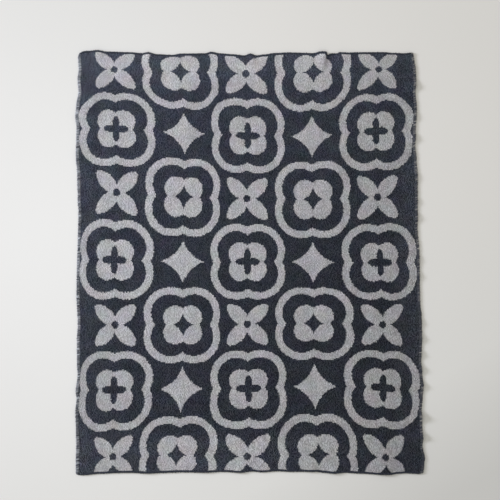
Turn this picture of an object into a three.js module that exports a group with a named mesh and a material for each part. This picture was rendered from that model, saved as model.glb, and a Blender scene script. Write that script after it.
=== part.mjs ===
// A knitted jacquard fleece throw, laid out face up on the surface it rests on.
// Lengths are millimetres. X runs across the throw, +Y towards its head and +Z up from the surface.
// The origin is the middle of the throw's footprint, on the surface.
import * as THREE from 'three';

// The cloth: a plush two-colour knit in one piece, its four edges overlocked into a soft roll.
const CLOTH_THICKNESS = 4;
const EDGE_ROLL = 1.6; // how far the rolled edge stands out past the flat of the cloth
const CLOTH_COLOUR = 0x3a3f49;

// The corners where the straight lines of the four edges meet, and how much each is rounded.
const HEAD_LEFT = new THREE.Vector2(-641, 784);
const HEAD_RIGHT = new THREE.Vector2(606, 781);
const FOOT_LEFT = new THREE.Vector2(-648, -788);
const FOOT_RIGHT = new THREE.Vector2(644, -783);
const CORNER_RADII = { headLeft: 24, headRight: 10, footLeft: 16, footRight: 11 };

// Each edge wanders about its straight line: columns are the place along the edge and how far the
// cloth lies outside that line there.
const HEAD_EDGE = [
  [-602, 3], [-565, 5.5], [-535, 0.5], [-446, -1.5], [-401, -5], [-379, -1.5], [-346, -9], [-290, -11],
  [-257, -6], [-168, -5], [-145, 0.5], [-112, -4.5], [-68, -7.5], [-23, -12], [0, -6], [22, -12],
  [55, -8], [88, -3], [144, -0.5], [233, -3], [266, 4.5], [278, 2], [289, -7], [322, -4], [344, 1.5],
  [489, 1], [533, -2], [578, -3.5],
];
const FOOT_EDGE = [
  [-624, 2], [-557, -3], [-483, -6], [-442, -6], [-379, -3], [-324, -5], [-257, -7], [-168, -5.5],
  [-101, -8], [-38, -5], [10, -9], [44, -6], [103, -10], [148, -7.5], [244, -7], [278, -3], [311, 0],
  [355, -3], [411, 0], [478, 4], [511, 5], [556, 1], [578, -1], [623, 2],
];
const LEFT_EDGE = [
  [721, -4], [677, -0.5], [632, -3.5], [588, 4], [543, 7], [499, 3], [398, 4.5], [324, -0.5], [231, -2.5],
  [187, -6], [83, -3.5], [-47, 0], [-125, 0], [-232, -5], [-288, -1.5], [-381, -2.5], [-414, -5],
  [-481, 1.5], [-503, -1.5], [-548, 2], [-659, 0],
];
const RIGHT_EDGE = [
  [743, 4], [721, 8], [677, 9], [632, 5], [577, 8.5], [476, 2], [432, -1], [387, 3], [321, 5.5],
  [254, 4], [165, 2], [120, 0], [53, 5], [9, 5], [-80, 3.5], [-169, 3.5], [-191, 7], [-280, 7],
  [-369, 2], [-414, 5], [-459, 8.5], [-503, 3.5], [-548, -1], [-592, 3], [-659, 3], [-681, -0.5],
  [-726, 7], [-748, 4],
];
const EDGE_WANDER_REACH = 150; // how far into the cloth an edge's wandering is still felt

// Where the cloth stands clear of the surface: small pleats along the head, flutes along the sides
// and the foot, and low swells in the middle. Columns are the middle of the fold, the heading of its
// crest in degrees from +X, its half length along the crest, its half widths to the left and to the
// right of that heading, and its height.
const FOLDS = [
  // Pleats that hang from the head.
  { x: -565, y: 784, heading: -88, along: 60, left: 40, right: 34, height: 3.5 },
  { x: -379, y: 780, heading: -90, along: 70, left: 24, right: 24, height: 4 },
  { x: -145, y: 782, heading: -92, along: 60, left: 26, right: 22, height: 4 },
  { x: 2, y: 778, heading: -80, along: 80, left: 20, right: 20, height: 6 },
  { x: 276, y: 786, heading: -72, along: 110, left: 16, right: 44, height: 13 },
  { x: 344, y: 782, heading: -95, along: 60, left: 40, right: 22, height: 4 },
  { x: 590, y: 780, heading: -110, along: 40, left: 22, right: 22, height: 4 },
  // Flutes along the right side, which stands highest near the foot.
  { x: 618, y: 654, heading: 180, along: 55, left: 26, right: 30, height: 7 },
  { x: 617, y: 532, heading: 180, along: 40, left: 24, right: 24, height: 4 },
  { x: 616, y: 454, heading: 180, along: 55, left: 26, right: 24, height: 6 },
  { x: 622, y: 309, heading: 180, along: 45, left: 26, right: 24, height: 5 },
  { x: 624, y: 220, heading: 180, along: 50, left: 24, right: 24, height: 5.5 },
  { x: 624, y: 157, heading: 180, along: 55, left: 26, right: 24, height: 6 },
  { x: 630, y: 9, heading: 180, along: 45, left: 26, right: 26, height: 5 },
  { x: 631, y: -56, heading: 180, along: 50, left: 24, right: 26, height: 6 },
  { x: 636, y: -222, heading: 180, along: 45, left: 30, right: 26, height: 4 },
  { x: 639, y: -301, heading: 180, along: 50, left: 26, right: 26, height: 5.5 },
  { x: 638, y: -405, heading: 180, along: 60, left: 26, right: 24, height: 7.5 },
  { x: 643, y: -468, heading: 180, along: 55, left: 24, right: 24, height: 7 },
  { x: 639, y: -585, heading: 180, along: 75, left: 26, right: 26, height: 12 },
  { x: 643, y: -660, heading: 180, along: 65, left: 26, right: 24, height: 10 },
  // Flutes along the left side.
  { x: -636, y: 545, heading: 0, along: 60, left: 40, right: 40, height: 4 },
  { x: -640, y: 398, heading: 0, along: 50, left: 40, right: 40, height: 3.5 },
  { x: -645, y: -125, heading: 0, along: 50, left: 50, right: 50, height: 3 },
  { x: -647, y: -481, heading: 0, along: 50, left: 28, right: 30, height: 4 },
  { x: -649, y: -560, heading: 0, along: 50, left: 30, right: 30, height: 3.5 },
  // Flutes along the foot.
  { x: -379, y: -788, heading: 90, along: 60, left: 40, right: 40, height: 3.5 },
  { x: -168, y: -790, heading: 92, along: 60, left: 40, right: 40, height: 3.5 },
  { x: -38, y: -788, heading: 88, along: 60, left: 34, right: 34, height: 3.5 },
  { x: 311, y: -785, heading: 95, along: 70, left: 36, right: 36, height: 5 },
  { x: 500, y: -782, heading: 100, along: 80, left: 50, right: 46, height: 6 },
  // Low swells in the middle.
  { x: 316, y: 350, heading: 62, along: 150, left: 60, right: 60, height: 5 },
  { x: -330, y: 430, heading: 20, along: 170, left: 60, right: 60, height: 4 },
  { x: -250, y: -330, heading: -35, along: 160, left: 60, right: 60, height: 4 },
  { x: 360, y: -430, heading: 15, along: 170, left: 60, right: 60, height: 4 },
];

// The mesh: how close together and how far apart its rows and columns may stand.
const CLOSEST_LINES = 15;
const WIDEST_GAP = 58;
const LINES_INSIDE_EDGE = [0, 5, 14, 34, 66, 108];

// One turn of the rolled edge, from the underside up to the face: columns are how far it stands out,
// as a share of EDGE_ROLL, and how high, as a share of CLOTH_THICKNESS.
const ROLL_PROFILE = [
  { out: 0, up: 0 },
  { out: 1, up: 0.25 },
  { out: 1, up: 0.75 },
  { out: 0, up: 1 },
];

function smooth(share) {
  const t = THREE.MathUtils.clamp(share, 0, 1);
  return t * t * (3 - 2 * t);
}

// The value at a place in a table of [place, value] rows, eased from row to row. Past the ends of
// the table it runs out to nothing at the corners.
function wander(table, place, start, end) {
  const rows = [[start, 0], ...table, [end, 0]].sort((a, b) => a[0] - b[0]);
  for (let i = 1; i < rows.length; i += 1) {
    const [from, low] = rows[i - 1];
    const [to, high] = rows[i];
    if (place <= to) {
      return THREE.MathUtils.lerp(low, high, smooth((place - from) / (to - from)));
    }
  }
  return 0;
}

// Lines across one side of the mesh, in millimetres from its start: near both ends, at the wanted
// places, and between those wherever the gap would be wider than WIDEST_GAP.
function meshLines(length, wanted) {
  const ends = LINES_INSIDE_EDGE.flatMap((inside) => [inside, length - inside]);
  const free = wanted.filter((place) => place > CLOSEST_LINES && place < length - CLOSEST_LINES);
  const inner = free.filter((place) => ends.every((end) => Math.abs(place - end) > CLOSEST_LINES));
  const lines = [];
  for (const place of [...ends, ...inner].sort((a, b) => a - b)) {
    const last = lines[lines.length - 1];
    const crowded = last !== undefined && !ends.includes(place) && place - last < CLOSEST_LINES;
    if (!crowded) {
      lines.push(place);
    }
  }
  const filled = [lines[0]];
  for (const place of lines.slice(1)) {
    const last = filled[filled.length - 1];
    const steps = Math.ceil((place - last) / WIDEST_GAP);
    for (let i = 1; i <= steps; i += 1) {
      filled.push(last + ((place - last) * i) / steps);
    }
  }
  return filled;
}

// Takes a place near a corner, as its distances in from the two edges, onto the rounded corner.
function roundCorner(fromSide, fromEnd, radius) {
  const side = radius - fromSide;
  const end = radius - fromEnd;
  if (side <= 0 || end <= 0) {
    return [fromSide, fromEnd];
  }
  const twice = 2 * radius * radius;
  return [
    radius - side * Math.sqrt(1 - (end * end) / twice),
    radius - end * Math.sqrt(1 - (side * side) / twice),
  ];
}

const WIDTH = (HEAD_LEFT.distanceTo(HEAD_RIGHT) + FOOT_LEFT.distanceTo(FOOT_RIGHT)) / 2;
const LENGTH = (HEAD_LEFT.distanceTo(FOOT_LEFT) + HEAD_RIGHT.distanceTo(FOOT_RIGHT)) / 2;

// Where a place on the flat cloth lies on the surface. across runs from the left edge, and along
// from the foot.
function lay(across, along) {
  const atLeft = across <= WIDTH / 2;
  const atFoot = along <= LENGTH / 2;
  const radius = CORNER_RADII[(atFoot ? 'foot' : 'head') + (atLeft ? 'Left' : 'Right')];
  const nearSide = Math.min(across, WIDTH - across);
  const nearEnd = Math.min(along, LENGTH - along);
  const [side, end] = roundCorner(nearSide, nearEnd, radius);
  const u = (atLeft ? side : WIDTH - side) / WIDTH;
  const v = (atFoot ? end : LENGTH - end) / LENGTH;
  const foot = FOOT_LEFT.clone().lerp(FOOT_RIGHT, u);
  const head = HEAD_LEFT.clone().lerp(HEAD_RIGHT, u);
  const place = foot.lerp(head, v);
  const felt = (inside) => 1 - smooth(inside / EDGE_WANDER_REACH);
  const { x, y } = place;
  const left = wander(LEFT_EDGE, y, FOOT_LEFT.y, HEAD_LEFT.y) * felt(u * WIDTH);
  const right = wander(RIGHT_EDGE, y, FOOT_RIGHT.y, HEAD_RIGHT.y) * felt((1 - u) * WIDTH);
  const down = wander(FOOT_EDGE, x, FOOT_LEFT.x, FOOT_RIGHT.x) * felt(v * LENGTH);
  const up = wander(HEAD_EDGE, x, HEAD_LEFT.x, HEAD_RIGHT.x) * felt((1 - v) * LENGTH);
  return place.add(new THREE.Vector2(right - left, up - down));
}

// How high the underside of the cloth stands above the surface at a place.
function lift(place) {
  let height = 0;
  for (const fold of FOLDS) {
    const angle = THREE.MathUtils.degToRad(fold.heading);
    const dx = place.x - fold.x;
    const dy = place.y - fold.y;
    const along = dx * Math.cos(angle) + dy * Math.sin(angle);
    const beside = dy * Math.cos(angle) - dx * Math.sin(angle);
    const width = beside > 0 ? fold.left : fold.right;
    const shape = smooth(1 - Math.abs(along) / fold.along) * smooth(1 - Math.abs(beside) / width);
    height = Math.max(height, fold.height * shape);
  }
  return height;
}

// A closed sheet: a grid of points for the underside, the same grid for the face, and the turns of
// the rolled edge between their rims.
function sheetGeometry(columns, rows) {
  const positions = [];
  const index = [];
  const across = columns.length;
  const pushPoint = (place, z) => {
    positions.push(place.x, place.y, z);
    return positions.length / 3 - 1;
  };
  const quad = (a, b, c, d) => index.push(a, b, c, a, c, d);

  // The flat of the cloth stops short of the outline by the roll of its edge.
  const inner = (place, length) => THREE.MathUtils.clamp(place, EDGE_ROLL, length - EDGE_ROLL);
  const places = rows.map((row) => columns.map((column) => lay(inner(column, WIDTH), inner(row, LENGTH))));
  const grid = (height) => places.map((line) => line.map((place) => pushPoint(place, lift(place) + height)));
  const under = grid(0);
  const face = grid(CLOTH_THICKNESS);
  for (let j = 1; j < rows.length; j += 1) {
    for (let i = 1; i < across; i += 1) {
      quad(under[j - 1][i - 1], under[j][i - 1], under[j][i], under[j - 1][i]);
      quad(face[j - 1][i - 1], face[j - 1][i], face[j][i], face[j][i - 1]);
    }
  }

  // The rim, counter-clockwise from the left end of the foot.
  const last = { column: across - 1, row: rows.length - 1 };
  const rim = [];
  for (let i = 0; i < last.column; i += 1) {
    rim.push([0, i]);
  }
  for (let j = 0; j < last.row; j += 1) {
    rim.push([j, last.column]);
  }
  for (let i = last.column; i > 0; i -= 1) {
    rim.push([last.row, i]);
  }
  for (let j = last.row; j > 0; j -= 1) {
    rim.push([j, 0]);
  }
  const turns = ROLL_PROFILE.map((turn, step) => rim.map(([j, i], k) => {
    if (step === 0) {
      return under[j][i];
    }
    if (step === ROLL_PROFILE.length - 1) {
      return face[j][i];
    }
    const [jBefore, iBefore] = rim[(k + rim.length - 1) % rim.length];
    const [jAfter, iAfter] = rim[(k + 1) % rim.length];
    const run = places[jAfter][iAfter].clone().sub(places[jBefore][iBefore]).normalize();
    const out = new THREE.Vector2(run.y, -run.x).multiplyScalar(EDGE_ROLL * turn.out);
    const place = places[j][i];
    return pushPoint(place.clone().add(out), lift(place) + CLOTH_THICKNESS * turn.up);
  }));
  for (let step = 1; step < turns.length; step += 1) {
    for (let k = 0; k < rim.length; k += 1) {
      const next = (k + 1) % rim.length;
      quad(turns[step - 1][k], turns[step - 1][next], turns[step][next], turns[step][k]);
    }
  }

  const geometry = new THREE.BufferGeometry();
  geometry.setAttribute('position', new THREE.Float32BufferAttribute(positions, 3));
  geometry.setIndex(index);
  geometry.computeVertexNormals();
  return geometry;
}

// Rows and columns stand where the edges and the folds need them.
const crossings = (folds, edges, axis, start) => [
  ...folds.filter((fold) => fold.height >= 4).map((fold) => fold[axis] - start),
  ...edges.map(([place]) => place - start),
];
const headPleats = FOLDS.filter((fold) => fold.y > 700);
const rightFlutes = FOLDS.filter((fold) => fold.x > 600);
const columns = meshLines(WIDTH, crossings(headPleats, HEAD_EDGE, 'x', HEAD_LEFT.x));
const rows = meshLines(LENGTH, crossings(rightFlutes, RIGHT_EDGE, 'y', FOOT_RIGHT.y));

const cloth = new THREE.MeshStandardMaterial({ color: CLOTH_COLOUR, roughness: 0.95, metalness: 0 });
const throwSheet = new THREE.Mesh(sheetGeometry(columns, rows), cloth);
throwSheet.name = 'throw';

const model = new THREE.Group();
model.add(throwSheet);

export default model;
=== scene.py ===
"""A knitted jacquard fleece throw, laid out flat and seen from above.

Lengths are metres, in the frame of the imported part: X runs across the throw, +Y towards its head and
+Z up from the surface it lies on. The knit is drawn on the flat cloth, whose places are called across
and along, and the cloth is then laid down in the shape that it has on the floor.
"""
from collections import namedtuple

import bpy
import numpy as np
from bpy.props import FloatProperty, FloatVectorProperty, IntProperty, PointerProperty
from bpy.types import Operator, Panel, PropertyGroup
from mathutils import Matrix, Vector


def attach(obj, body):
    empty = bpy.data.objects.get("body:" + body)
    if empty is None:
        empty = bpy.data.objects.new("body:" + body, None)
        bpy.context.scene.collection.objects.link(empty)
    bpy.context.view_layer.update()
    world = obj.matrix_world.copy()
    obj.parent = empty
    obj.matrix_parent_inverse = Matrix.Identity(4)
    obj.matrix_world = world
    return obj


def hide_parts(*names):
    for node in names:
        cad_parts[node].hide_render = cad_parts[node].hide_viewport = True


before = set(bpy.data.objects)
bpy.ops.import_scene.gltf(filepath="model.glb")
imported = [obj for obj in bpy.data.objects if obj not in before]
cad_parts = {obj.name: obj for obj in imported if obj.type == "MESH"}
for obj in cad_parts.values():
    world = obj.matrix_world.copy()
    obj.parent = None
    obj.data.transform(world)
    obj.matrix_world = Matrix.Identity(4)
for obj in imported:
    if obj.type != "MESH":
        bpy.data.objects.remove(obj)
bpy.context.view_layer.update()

bl_info = {
    "name": "Jacquard fleece throw",
    "version": (1, 0, 0),
    "blender": (4, 5, 0),
    "location": "3D View > Sidebar > Throw",
    "description": "Knits and lays out a two-colour plush throw with tile motifs and overlocked edges",
    "category": "Object",
}

BODY = "root"
NODE = "throw"

# The maps of a piece: the place on the flat cloth, and the place in the square that a bake fills. The
# overlock has instead the share of pale yarn and, for both the right side and the hems, 1.
FLAT_MAP = "Flat place"
BAKE_MAP = "OFBake"
THREAD_MAP = "Thread"

# The corners where the straight lines of the four edges meet, and how much each is rounded.
HEAD_LEFT = (-0.6415, 0.7832)
HEAD_RIGHT = (0.606, 0.7802)
FOOT_LEFT = (-0.6485, -0.7893)
FOOT_RIGHT = (0.644, -0.7843)
CORNER_RADII = {"head left": 0.034, "head right": 0.010, "foot left": 0.012, "foot right": 0.011}

# Each edge wanders about its straight line: the place along the edge, and how far the cloth lies
# outside that line there.
HEAD_EDGE = [
    (-0.602, 0.003), (-0.565, 0.0055), (-0.535, 0.0005), (-0.446, -0.0015), (-0.401, -0.005),
    (-0.379, -0.0015), (-0.346, -0.009), (-0.29, -0.011), (-0.257, -0.006), (-0.168, -0.005),
    (-0.145, 0.0005), (-0.112, -0.0045), (-0.068, -0.0075), (-0.023, -0.012), (0, -0.006),
    (0.022, -0.012), (0.055, -0.008), (0.088, -0.003), (0.144, -0.0005), (0.233, -0.003),
    (0.262, 0.0028), (0.2845, 0.0014), (0.297, -0.0050), (0.311, -0.0005), (0.332, -0.0010),
    (0.3375, 0.0030), (0.375, 0.0005), (0.489, 0.001), (0.533, -0.002), (0.578, -0.0035),
]
FOOT_EDGE = [
    (-0.624, 0.002), (-0.557, -0.003), (-0.483, -0.006), (-0.442, -0.006), (-0.379, -0.003),
    (-0.324, -0.005), (-0.257, -0.007), (-0.168, -0.0055), (-0.101, -0.008), (-0.038, -0.005),
    (0.01, -0.009), (0.044, -0.006), (0.103, -0.01), (0.148, -0.0075), (0.244, -0.007), (0.278, -0.003),
    (0.311, 0), (0.355, -0.003), (0.411, 0), (0.478, 0.004), (0.511, 0.005), (0.556, 0.001),
    (0.578, -0.001), (0.623, 0.002),
]
LEFT_EDGE = [
    (0.721, -0.004), (0.677, -0.0005), (0.632, -0.0035), (0.588, 0.004), (0.543, 0.007), (0.499, 0.003),
    (0.398, 0.0045), (0.324, -0.0005), (0.231, -0.0025), (0.187, -0.006), (0.083, -0.0035), (-0.047, 0),
    (-0.125, 0), (-0.232, -0.005), (-0.288, -0.0015), (-0.381, -0.0025), (-0.414, -0.005),
    (-0.481, 0.0015), (-0.503, -0.0015), (-0.548, 0.002), (-0.659, 0),
]
RIGHT_EDGE = [
    (0.743, 0.004), (0.721, 0.008), (0.677, 0.009), (0.632, 0.005), (0.577, 0.0085), (0.476, 0.002),
    (0.432, -0.001), (0.387, 0.003), (0.321, 0.0055), (0.254, 0.004), (0.165, 0.002), (0.12, 0),
    (0.053, 0.005), (0.009, 0.005), (-0.08, 0.0035), (-0.169, 0.0035), (-0.191, 0.007), (-0.28, 0.007),
    (-0.369, 0.002), (-0.414, 0.005), (-0.459, 0.0085), (-0.503, 0.0035), (-0.548, -0.0015),
    (-0.592, 0), (-0.63, 0.001), (-0.659, 0.002), (-0.681, -0.0005), (-0.726, 0.007), (-0.748, 0.004),
]
EDGE_WANDER_REACH = 0.06  # how far into the cloth an edge's wandering is still felt
BEAD_REACH = 0.010  # how far into the cloth its bound edge is thicker

# Where the cloth stands clear of the floor: the middle of the fold, the heading of its crest in
# degrees from +X, its half length along the crest, its half widths to the left and to the right of
# that heading, and its height.
Fold = namedtuple("Fold", "x y heading along left right height")
FOLDS = [
    # Pleats that hang from the head.
    Fold(-0.565, 0.784, -88, 0.06, 0.04, 0.034, 0.0035),
    Fold(-0.379, 0.78, -90, 0.07, 0.024, 0.024, 0.004),
    Fold(-0.145, 0.782, -92, 0.06, 0.026, 0.022, 0.004),
    Fold(0.002, 0.778, -80, 0.08, 0.02, 0.02, 0.006),
    Fold(0.2815, 0.786, -101, 0.115, 0.0180, 0.040, 0.0092),
    Fold(0.344, 0.782, -95, 0.06, 0.04, 0.022, 0.004),
    Fold(0.59, 0.78, -110, 0.04, 0.022, 0.022, 0.004),
    # Flutes along the right side, which stands highest near the foot.
    Fold(0.618, 0.654, 180, 0.055, 0.026, 0.03, 0.0066),
    Fold(0.617, 0.54, 180, 0.04, 0.024, 0.024, 0.0030),
    Fold(0.616, 0.46, 180, 0.055, 0.026, 0.024, 0.0052),
    Fold(0.622, 0.315, 180, 0.045, 0.026, 0.024, 0.0030),
    Fold(0.624, 0.225, 180, 0.05, 0.024, 0.024, 0.0034),
    Fold(0.624, 0.166, 180, 0.055, 0.026, 0.024, 0.0050),
    Fold(0.63, 0.009, 180, 0.045, 0.026, 0.026, 0.0026),
    Fold(0.631, -0.052, 180, 0.05, 0.024, 0.026, 0.0042),
    Fold(0.636, -0.222, 180, 0.045, 0.03, 0.026, 0.0030),
    Fold(0.639, -0.282, 180, 0.05, 0.026, 0.026, 0.0052),
    Fold(0.638, -0.342, 180, 0.05, 0.022, 0.022, 0.0054),
    Fold(0.638, -0.396, 180, 0.06, 0.026, 0.024, 0.0064),
    Fold(0.643, -0.460, 180, 0.055, 0.024, 0.024, 0.0062),
    Fold(0.639, -0.572, 180, 0.075, 0.030, 0.028, 0.0118),
    Fold(0.643, -0.646, 180, 0.065, 0.026, 0.024, 0.0100),
    # Flutes along the left side.
    Fold(-0.636, 0.545, 0, 0.06, 0.04, 0.04, 0.004),
    Fold(-0.64, 0.398, 0, 0.05, 0.04, 0.04, 0.0035),
    Fold(-0.645, -0.125, 0, 0.05, 0.05, 0.05, 0.003),
    Fold(-0.647, -0.481, 0, 0.05, 0.028, 0.03, 0.004),
    Fold(-0.649, -0.56, 0, 0.05, 0.03, 0.03, 0.0035),
    # Flutes along the foot.
    Fold(-0.379, -0.788, 90, 0.06, 0.04, 0.04, 0.0035),
    Fold(-0.168, -0.79, 92, 0.06, 0.04, 0.04, 0.0035),
    Fold(-0.038, -0.788, 88, 0.06, 0.034, 0.034, 0.0035),
    Fold(0.234, -0.780, 97, 0.06, 0.030, 0.012, 0.0045),
    Fold(0.311, -0.785, 95, 0.07, 0.036, 0.036, 0.005),
    Fold(0.5, -0.782, 100, 0.08, 0.05, 0.046, 0.006),
    # Low swells in the middle.
    Fold(0.316, 0.35, 62, 0.15, 0.06, 0.06, 0.005),
    Fold(-0.33, 0.43, 20, 0.17, 0.06, 0.06, 0.004),
    Fold(-0.25, -0.33, -35, 0.16, 0.06, 0.06, 0.004),
    Fold(0.36, -0.43, 15, 0.17, 0.06, 0.06, 0.004),
]

# The largest pleat takes cloth up in its steep right flank: where its crest starts and how long it is,
# its heading in degrees, how wide the flank is, how much of that is taken up, how far the cloth on its
# right has slid down, and how far to the right it is drawn in.
Lap = namedtuple("Lap", "x y heading along width hidden slid reach")
HEAD_LAP = Lap(0.2815, 0.786, -101, 0.095, 0.0180, 0.0095, 0.006, 0.15)
# Where the cloth's mesh is finer, for the lap: from and to across, and the step.
FINE_COLUMNS = (0.276, 0.318, 0.0022)

# How far the knit lies from an even repeat of the motifs, in millimetres across and along. A line of
# the table is a row of motifs, counted from the middle row, and its five pairs are the columns from
# left to right. The head is drawn in, and hangs a little in its middle; the foot is spread.
DRIFT_SCALE = 0.001
MOTIF_COLUMNS = (-2, -1, 0, 1, 2)
MOTIF_DRIFT = {
    3: [(-11, 5), (-13, -2), (-16, -11), (-12, -4), (-17, 5)],
    2.5: [(-7, 19), (-2, -1), (-12, -3), (-18, -9), (-25, 14)],
    2: [(-4, 25), (3, 8), (-9, -1), (-18, -4), (-27, 16)],
    1: [(-2, 27), (1, 11), (-13, 4), (-13, 2), (-21, 9)],
    0.5: [(-5, 22), (-3, 5), (-11, 7), (-15, -2), (-19, 8)],
    0: [(-11, 15), (-2, 9), (-10, 9), (-14, 7), (-11, 5)],
    -0.5: [(-9, 10), (-4, 11), (-9, 10), (-12, 12), (-7, 7)],
    -1: [(-8, 13), (-2, 13), (-11, 16), (-12, 19), (-2, 14)],
    -1.5: [(-10, 12), (-4, 13), (-9, 15), (-9, 26), (0, 15)],
    -2: [(-12, 11), (-7, 14), (-6, 16), (-8, 24), (-1, 20)],
    -2.5: [(-16, 0), (-15, 9), (-5, 8), (-2, 17), (-3, 11)],
    -3: [(-16, 1), (-28, 8), (-11, 2), (8, 8), (9, -2)],
}
# The same along the left and the right side edge, for along only.
SIDE_DRIFT = {
    3: (7, 8), 2.5: (20, 14), 2: (27, 17), 1: (33, 11), 0.5: (26, 13), 0: (19, 8), -0.5: (9, 4),
    -1: (14, 13), -1.5: (12, 8), -2: (9, 4), -2.5: (-8, 2), -3: (-5, -4),
}
# Places where the knit lies a little off that: the place, how far off it is, and how far this is felt.
Tug = namedtuple("Tug", "x y across along reach")
TUGS = [
    Tug(-0.372, 0.680, 0, -0.011, 0.075),
    Tug(0.322, 0.690, -0.001, -0.007, 0.065),
    Tug(-0.120, 0.572, -0.003, 0.005, 0.060),
    Tug(-0.580, 0.380, -0.005, -0.003, 0.070),
    Tug(0.215, 0.335, -0.005, 0, 0.070),
    Tug(0.565, -0.176, 0.005, 0.005, 0.075),
    Tug(-0.135, -0.020, 0, -0.005, 0.060),
    Tug(0.310, -0.060, -0.001, -0.005, 0.060),
    Tug(0.320, -0.300, -0.003, -0.003, 0.080),
    Tug(0.545, -0.530, 0.003, -0.003, 0.120),
    Tug(-0.130, -0.570, -0.002, -0.007, 0.070),
    Tug(-0.370, -0.620, 0.002, 0.005, 0.065),
    Tug(0.150, -0.680, -0.003, 0.005, 0.065),
    Tug(0.315, -0.690, 0, 0.008, 0.065),
    Tug(-0.605, -0.680, 0.005, -0.007, 0.060),
    Tug(-0.590, 0.598, 0.005, -0.003, 0.055),
]


# Sizes and colours that a user would change

def length_property(name, description, default):
    """A size in metres."""
    return FloatProperty(name=name, description=description, default=default, unit="LENGTH")


def share_property(name, description, default):
    """A share from 0 to 1."""
    return FloatProperty(name=name, description=description, default=default, subtype="FACTOR", min=0, max=1)


def colour_property(name, description, default):
    """A plain colour."""
    return FloatVectorProperty(
        name=name, description=description, default=default, subtype="COLOR", min=0, max=1)


class ThrowCloth(PropertyGroup):
    """The knitted cloth"""

    width: length_property("Width", "Width of the flat cloth", 1.297)
    length: length_property("Length", "Length of the flat cloth", 1.589)
    thickness: length_property("Thickness", "Thickness of the knit under its plush", 0.0028)
    mesh_step: length_property("Mesh step", "Size of the cloth's faces", 0.0071)
    roll: length_property("Edge roll", "How far the rolled edge stands out", 0.0014)
    bead: length_property("Bead", "How much thicker the bound edge is", 0.0013)
    unevenness: length_property("Unevenness", "Height of the soft waves in the face", 0.0007)


class ThrowMotifs(PropertyGroup):
    """The repeat of the motifs"""

    across: length_property("Across", "Distance between motifs in a row", 0.247)
    along: length_property("Along", "Distance between rows of motifs", 0.2389)
    shift_along: length_property("Shift along", "Place of the middle row of motifs", -0.006)
    lobe_offset: length_property("Lobe offset", "From a medallion's centre to its lobe's", 0.0438)
    band_radius: length_property("Band radius", "Radius of the middle of the medallion's band", 0.0850)
    band_width: length_property("Band width", "Width of the medallion's band", 0.0272)
    heart_offset: length_property("Heart offset", "Middle of a lobe of the inner quatrefoil", 0.0290)
    heart_radius: length_property("Heart radius", "Radius of a lobe of the inner quatrefoil", 0.0434)
    jag: length_property("Jag", "How far out of place a stitch may be", 0.0013)


class ThrowYarns(PropertyGroup):
    """The two yarns"""

    ground: colour_property("Ground", "Colour of the slate yarn", (0.0437, 0.0511, 0.0747))
    figure: colour_property("Figure", "Colour of the pale grey yarn", (0.661, 0.660, 0.702))
    fleck: share_property("Fleck", "How much the stitches differ in tone", 0.305)
    heather: share_property("Heather", "How much the yarn's hue drifts", 0.075)


class ThrowPlush(PropertyGroup):
    """The plush on the face"""

    wale: length_property("Wale", "Distance between stitches across the throw", 0.0034)
    course: length_property("Course", "Distance between stitches along the throw", 0.0044)
    height: length_property("Height", "Height of a tuft", 0.0031)
    spread: length_property("Spread", "Radius of a tuft's foot", 0.0027)
    scatter: share_property("Scatter", "How uneven the tufts are", 0.30)
    rib: share_property("Rib", "How much every other wale stands out", 0.08)
    seed: IntProperty(name="Seed", description="Seed of the tufts' unevenness", default=11)


class ThrowEdging(PropertyGroup):
    """The overlock stitches of the edges"""

    pitch: length_property("Pitch", "Distance between overlock stitches", 0.0046)
    left_depth: length_property("Left depth", "How far the left side's stitches reach in", 0.0095)
    right_depth: length_property("Right depth", "How far the right side's stitches reach in", 0.0083)
    end_depth: length_property("End depth", "How far the hems' stitches reach in", 0.0068)
    thread: length_property("Thread", "Radius of the overlock thread", 0.0013)
    # Partly painted light: the left side's pale share is drawn high also for the light its rolled edge
    # catches.
    left_pale: share_property("Left pale share", "Share of pale yarn on the left side", 0.47)
    right_pale: share_property("Right pale share", "Share of pale yarn on the right side", 0.16)
    seed: IntProperty(name="Seed", description="Seed of the stitches' unevenness", default=23)


class ThrowStudio(PropertyGroup):
    """The floor, the light and the camera"""

    floor: colour_property("Floor", "Colour of the pale floor", (0.80, 0.80, 0.80))
    key_power: FloatProperty(
        name="Key power", description="Power of the soft light on the left", default=745, unit="POWER")
    fill_power: FloatProperty(
        name="Fill power", description="Power of the small light over the left half", default=4.2,
        unit="POWER")
    ambient: FloatProperty(
        name="Ambient", description="Strength of the light from all round", default=0.54)
    camera_height: length_property("Camera height", "Height of the camera over the floor", 4.386)
    camera_across: length_property("Camera across", "Place of the camera across the throw", -0.0007)
    camera_along: length_property("Camera along", "Place of the camera along the throw", 0.046)


class ThrowSettings(PropertyGroup):
    """All that a user would change"""

    cloth: PointerProperty(type=ThrowCloth)
    motifs: PointerProperty(type=ThrowMotifs)
    yarns: PointerProperty(type=ThrowYarns)
    plush: PointerProperty(type=ThrowPlush)
    edging: PointerProperty(type=ThrowEdging)
    studio: PointerProperty(type=ThrowStudio)


# The shape in which the cloth lies

def smooth(share):
    """Eases a share from 0 to 1, and holds it there outside."""
    share = np.clip(share, 0.0, 1.0)
    return share * share * (3.0 - 2.0 * share)


def through(knots, values, places):
    """Values at places on smooth curves through values, which has a column for each knot."""
    values = np.broadcast_to(values, (len(places), len(knots)))
    slopes = np.gradient(values, knots, axis=1)
    left = np.clip(np.searchsorted(knots, places) - 1, 0, len(knots) - 2)
    row = np.arange(len(places))
    gap = knots[left + 1] - knots[left]
    share = np.clip((places - knots[left]) / gap, 0.0, 1.0)
    rise = smooth(share)
    start_slope = share * (1.0 - share) ** 2
    end_slope = share * share * (share - 1.0)
    level = values[row, left] * (1.0 - rise) + values[row, left + 1] * rise
    return level + gap * (slopes[row, left] * start_slope + slopes[row, left + 1] * end_slope)


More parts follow.
